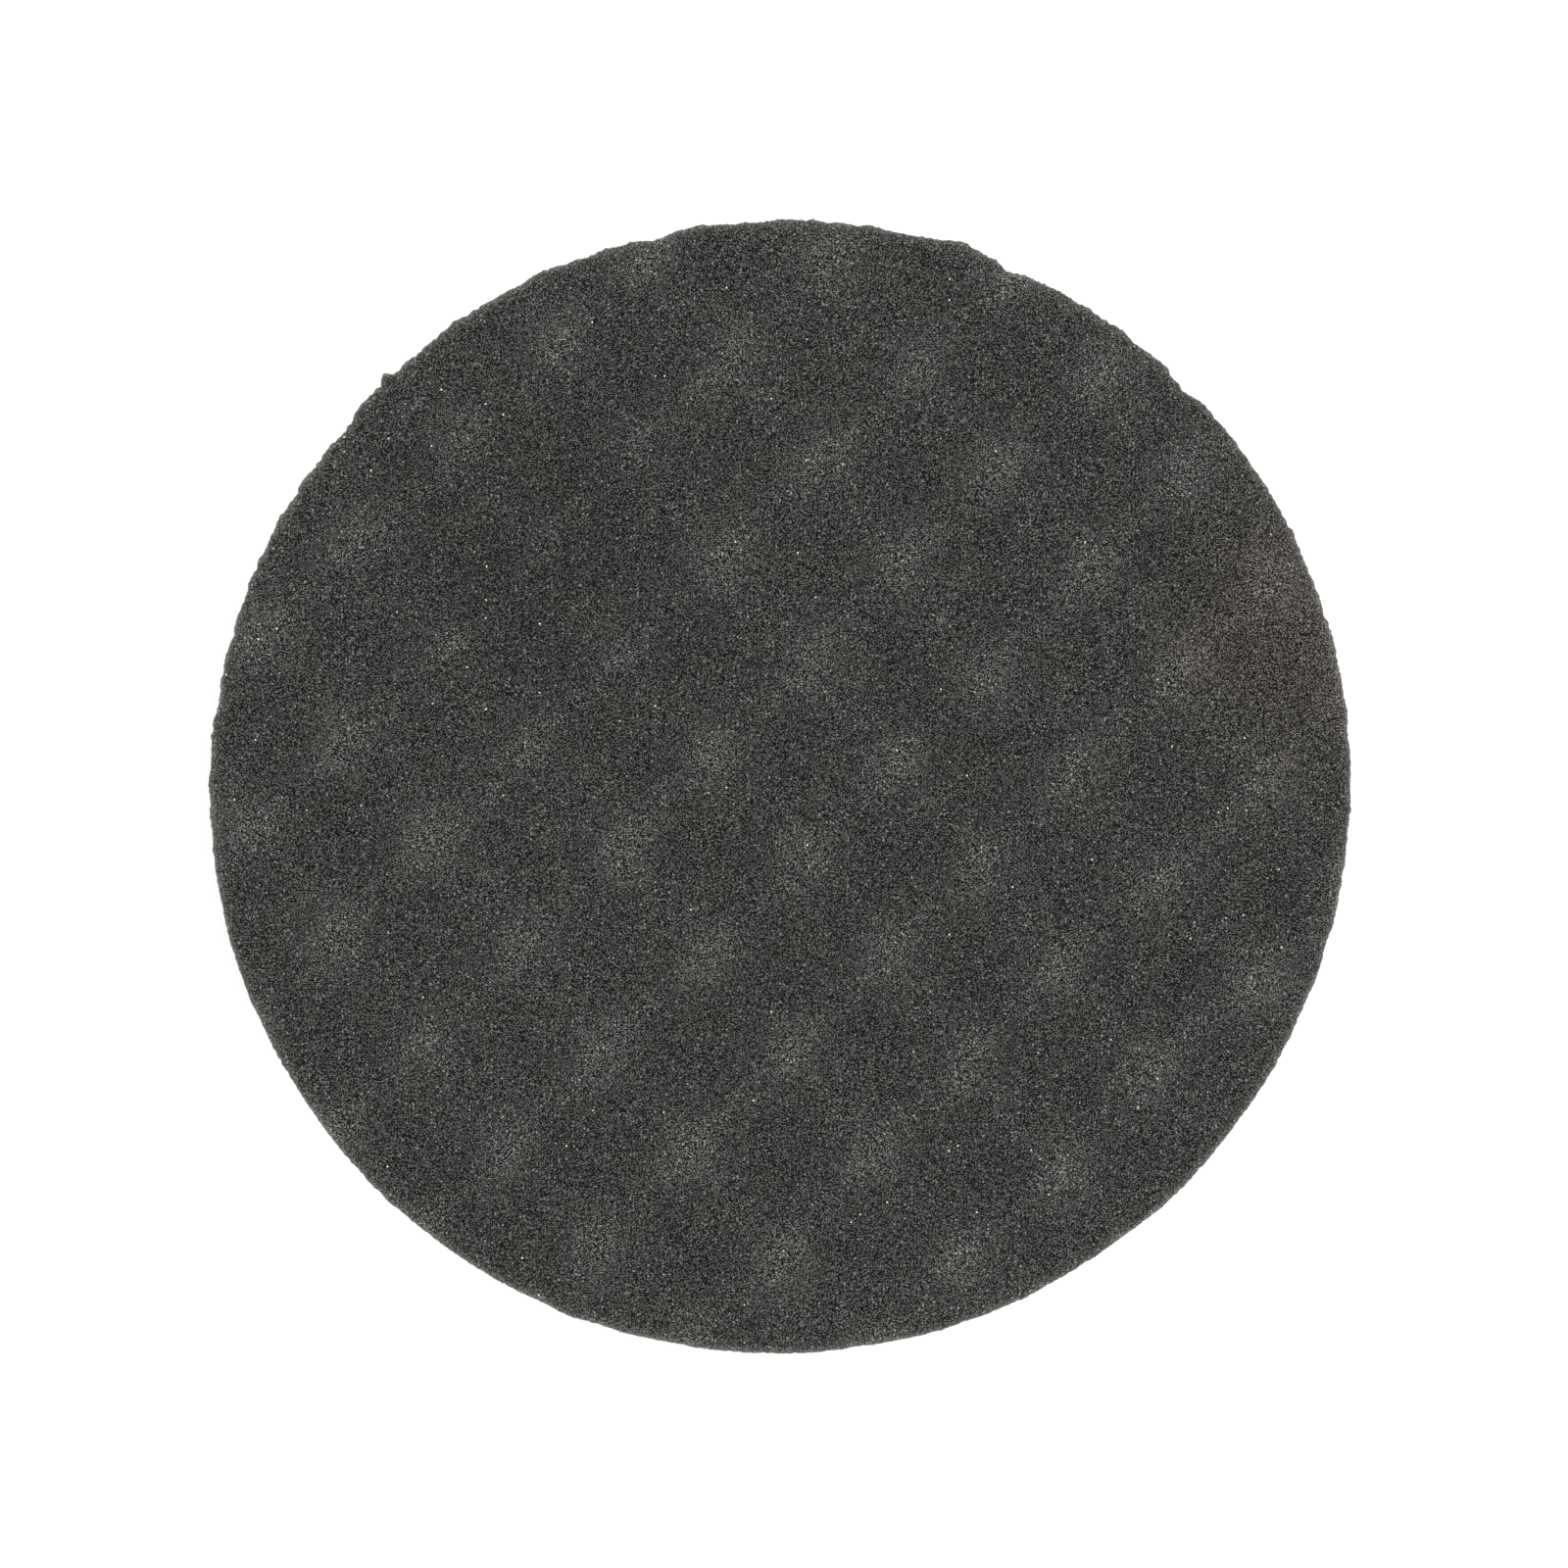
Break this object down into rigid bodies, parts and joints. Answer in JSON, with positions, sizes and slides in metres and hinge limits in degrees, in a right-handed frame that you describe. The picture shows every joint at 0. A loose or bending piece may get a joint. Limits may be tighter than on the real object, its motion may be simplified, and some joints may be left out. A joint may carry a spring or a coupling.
{
  "type": "foam polishing pad",
  "caption": "Round waffle-faced foam polishing pad, laminated to a knitted loop cloth that grips a hook-faced backing plate.",
  "frame": {"origin": "centre of the loop face, on the surface that the pad lies on", "axes": "+Z from the loop face through the convoluted working face; +X and +Y in the plane of the pad, with the rows of peaks on the two diagonals between them"},
  "size_m": [0.2032, 0.2032, 0.0323],
  "materials": {
    "charcoal_foam": "open-cell polyurethane foam, matte, fine grained",
    "clear_adhesive": "thin hot-melt film, dull",
    "knit_ground": "warp-knitted polyester ground",
    "nylon_loops": "brushed nylon loop pile, slight sheen"
  },
  "bodies": {
    "root": {"foam_pad": "charcoal_foam", "bond_film": "clear_adhesive", "loop_ground": "knit_ground", "loop_pile": "nylon_loops"}
  },
  "joints": []
}
